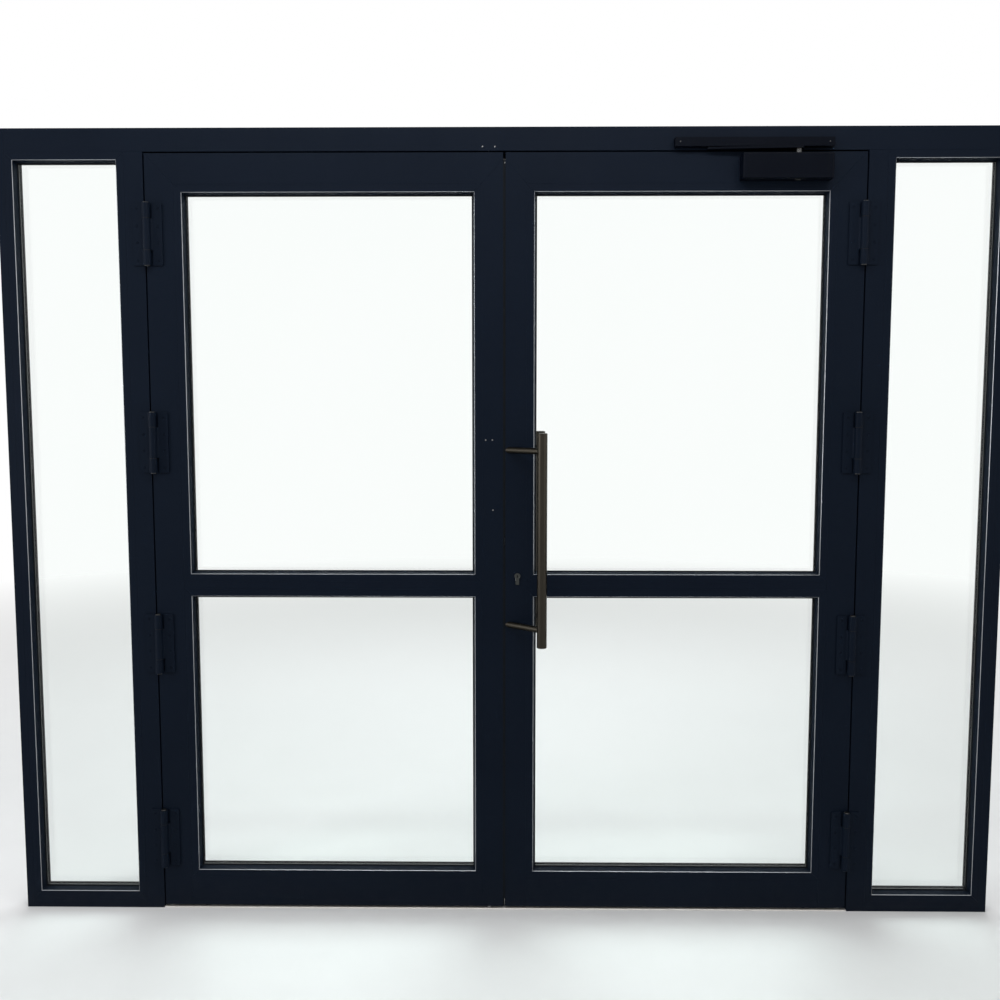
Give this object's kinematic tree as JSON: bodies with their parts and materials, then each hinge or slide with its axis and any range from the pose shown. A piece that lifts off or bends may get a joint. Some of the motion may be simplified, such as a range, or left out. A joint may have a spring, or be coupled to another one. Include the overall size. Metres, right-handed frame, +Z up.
{
  "type": "glass entrance door",
  "caption": "Double-leaf glazed aluminium entrance door with glazed side panels, pull bars, cylinder lock, shoot bolts and a slide-rail closer; both leaves swing to the room.",
  "frame": {"origin": "middle of the frame's foot on the floor, half way through the frame's depth", "axes": "+X to the right seen from the room, +Y outdoors, so the room and the swing of the leaves are towards -Y, +Z up; the frame's width lies along X"},
  "size_m": [2.812, 0.242, 2.236],
  "materials": {
    "coated_aluminium": "matte",
    "glass": "polished",
    "seal_rubber": "matte",
    "brush": "matte",
    "cast_corner": "satin",
    "bright_aluminium": "satin",
    "stainless_steel": "satin",
    "pin_steel": "satin",
    "bush_plastic": "matte",
    "brass": "satin",
    "lock_steel": "satin",
    "closer_paint": "satin"
  },
  "bodies": {
    "frame": {"left_jamb": "coated_aluminium", "right_jamb": "coated_aluminium", "left_mullion": "coated_aluminium", "right_mullion": "coated_aluminium", "head": "coated_aluminium", "left_sill": "coated_aluminium", "right_sill": "coated_aluminium", "threshold": "bright_aluminium", "left_side_glass": "glass", "right_side_glass": "glass", "side_beads": "coated_aluminium", "frame_gaskets": "seal_rubber", "frame_connectors": "cast_corner", "hinge_frame_parts": "coated_aluminium", "hinge_pins": "pin_steel", "bolt_keeper": "cast_corner", "closer_rail": "closer_paint"},
    "right_leaf": {"right_hinge_stile": "coated_aluminium", "right_top_rail": "coated_aluminium", "right_middle_rail": "coated_aluminium", "right_bottom_rail": "coated_aluminium", "right_upper_glass": "glass", "right_lower_glass": "glass", "right_beads": "coated_aluminium", "right_gaskets": "seal_rubber", "right_bottom_brush": "brush", "right_connectors": "cast_corner", "right_hinge_parts": "coated_aluminium", "right_hinge_bushes": "bush_plastic", "right_lock_stile": "coated_aluminium", "lock_case": "lock_steel", "lock_faceplate": "stainless_steel", "lock_cylinder": "brass", "inner_pull_bar": "stainless_steel", "outer_pull_bar": "stainless_steel", "pull_rods": "stainless_steel", "pull_studs": "pin_steel", "closer_body": "closer_paint"},
    "left_leaf": {"left_hinge_stile": "coated_aluminium", "left_top_rail": "coated_aluminium", "left_middle_rail": "coated_aluminium", "left_bottom_rail": "coated_aluminium", "left_upper_glass": "glass", "left_lower_glass": "glass", "left_beads": "coated_aluminium", "left_gaskets": "seal_rubber", "left_bottom_brush": "brush", "left_connectors": "cast_corner", "left_hinge_parts": "coated_aluminium", "left_hinge_bushes": "bush_plastic", "left_meeting_stile": "coated_aluminium", "strike_plate": "stainless_steel"},
    "closer_linkage": {"closer_spindle": "pin_steel", "closer_arm": "closer_paint"},
    "closer_slider": {"closer_slider": "bush_plastic"},
    "cylinder_plug": {"cylinder_plug": "brass"},
    "deadbolt": {"deadbolt": "lock_steel"},
    "latch_bolt": {"latch_bolt": "lock_steel"},
    "top_bolt": {"top_bolt": "pin_steel"},
    "bottom_bolt": {"bottom_bolt": "pin_steel"}
  },
  "joints": [
    {"name": "right_leaf_swing", "type": "hinge", "parent": "frame", "child": "right_leaf", "pos_m": [0.99, -0.0445, 1.08], "axis": [0, 0, 1], "range_deg": [0, 90]},
    {"name": "left_leaf_swing", "type": "hinge", "parent": "frame", "child": "left_leaf", "pos_m": [-0.99, -0.0445, 1.08], "axis": [0, 0, -1], "range_deg": [0, 90]},
    {"name": "closer_arm_turn", "type": "hinge", "parent": "right_leaf", "child": "closer_linkage", "pos_m": [0.801, -0.0545, 2.12], "axis": [0, 0, 1], "range_deg": [-140.1, 0]},
    {"name": "closer_slider_travel", "type": "slide", "parent": "frame", "child": "closer_slider", "axis": [1, 0, 0], "range_m": [0, 0.2919]},
    {"name": "key_turn", "type": "hinge", "parent": "right_leaf", "child": "cylinder_plug", "pos_m": [0.0375, 0, 0.99], "axis": [0, -1, 0], "range_deg": [0, 360]},
    {"name": "deadbolt_throw", "type": "slide", "parent": "right_leaf", "child": "deadbolt", "axis": [-1, 0, 0], "range_m": [0, 0.02]},
    {"name": "latch_press", "type": "slide", "parent": "right_leaf", "child": "latch_bolt", "axis": [1, 0, 0], "range_m": [0, 0.005], "stiffness_N_per_m": 400, "springref_m": -0.01},
    {"name": "top_bolt_throw", "type": "slide", "parent": "left_leaf", "child": "top_bolt", "axis": [0, 0, 1], "range_m": [0, 0.015]},
    {"name": "bottom_bolt_throw", "type": "slide", "parent": "left_leaf", "child": "bottom_bolt", "axis": [0, 0, -1], "range_m": [0, 0.015]}
  ],
  "couplings": [
    {"joint": "closer_arm_turn", "follows": "right_leaf_swing", "ratio": -1.5507},
    {"joint": "closer_slider_travel", "follows": "right_leaf_swing", "m_per_rad": 0.18518},
    {"joint": "key_turn", "follows": "deadbolt_throw", "rad_per_m": 314.16}
  ]
}
